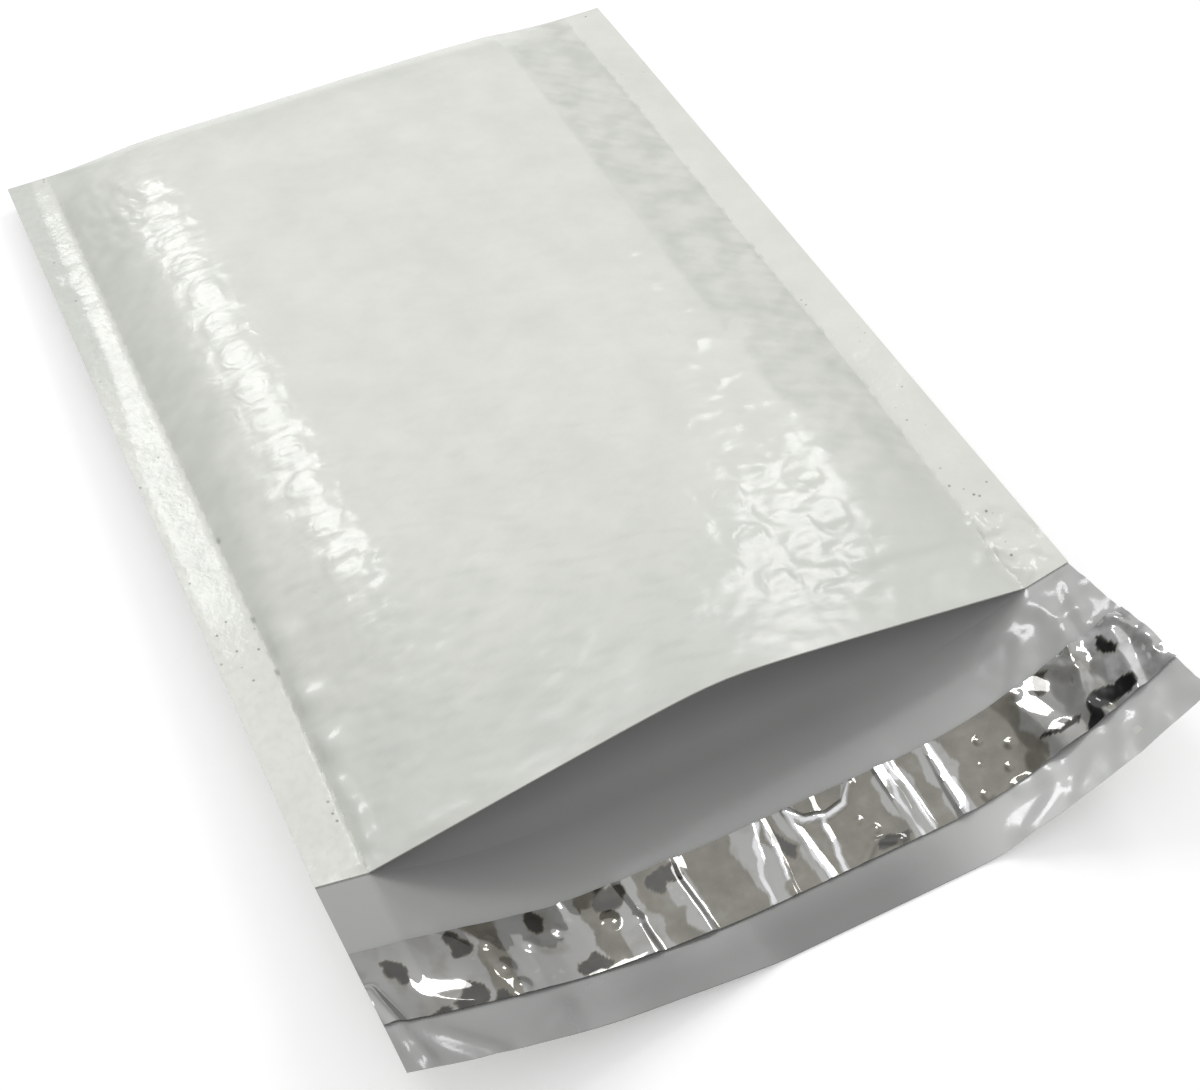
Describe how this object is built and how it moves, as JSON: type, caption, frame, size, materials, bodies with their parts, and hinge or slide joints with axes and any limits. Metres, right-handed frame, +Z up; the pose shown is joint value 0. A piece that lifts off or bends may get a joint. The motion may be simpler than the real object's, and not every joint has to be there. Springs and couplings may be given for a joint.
{
  "type": "padded envelope",
  "caption": "Padded mailing envelope of satin film lined with bubble film, lying open, its lip carrying an adhesive strip under a clear release liner.",
  "frame": {"origin": "centre of the bounding box in plan, on the surface that the back panel lies on", "axes": "+Y along the envelope from the lip to the bottom fold, +X across it, +Z up"},
  "size_m": [0.164, 0.2624, 0.0275],
  "materials": {
    "outer_film": "satin off-white polyethylene film, grey inside",
    "bubble_lining": "translucent grey bubble film",
    "adhesive_strip": "tacky hot-melt adhesive",
    "release_liner": "clear glossy polyester liner, crinkled"
  },
  "bodies": {
    "root": {"outer_film": "outer_film", "bubble_lining": "bubble_lining", "adhesive_strip": "adhesive_strip", "release_liner": "release_liner"}
  },
  "joints": []
}
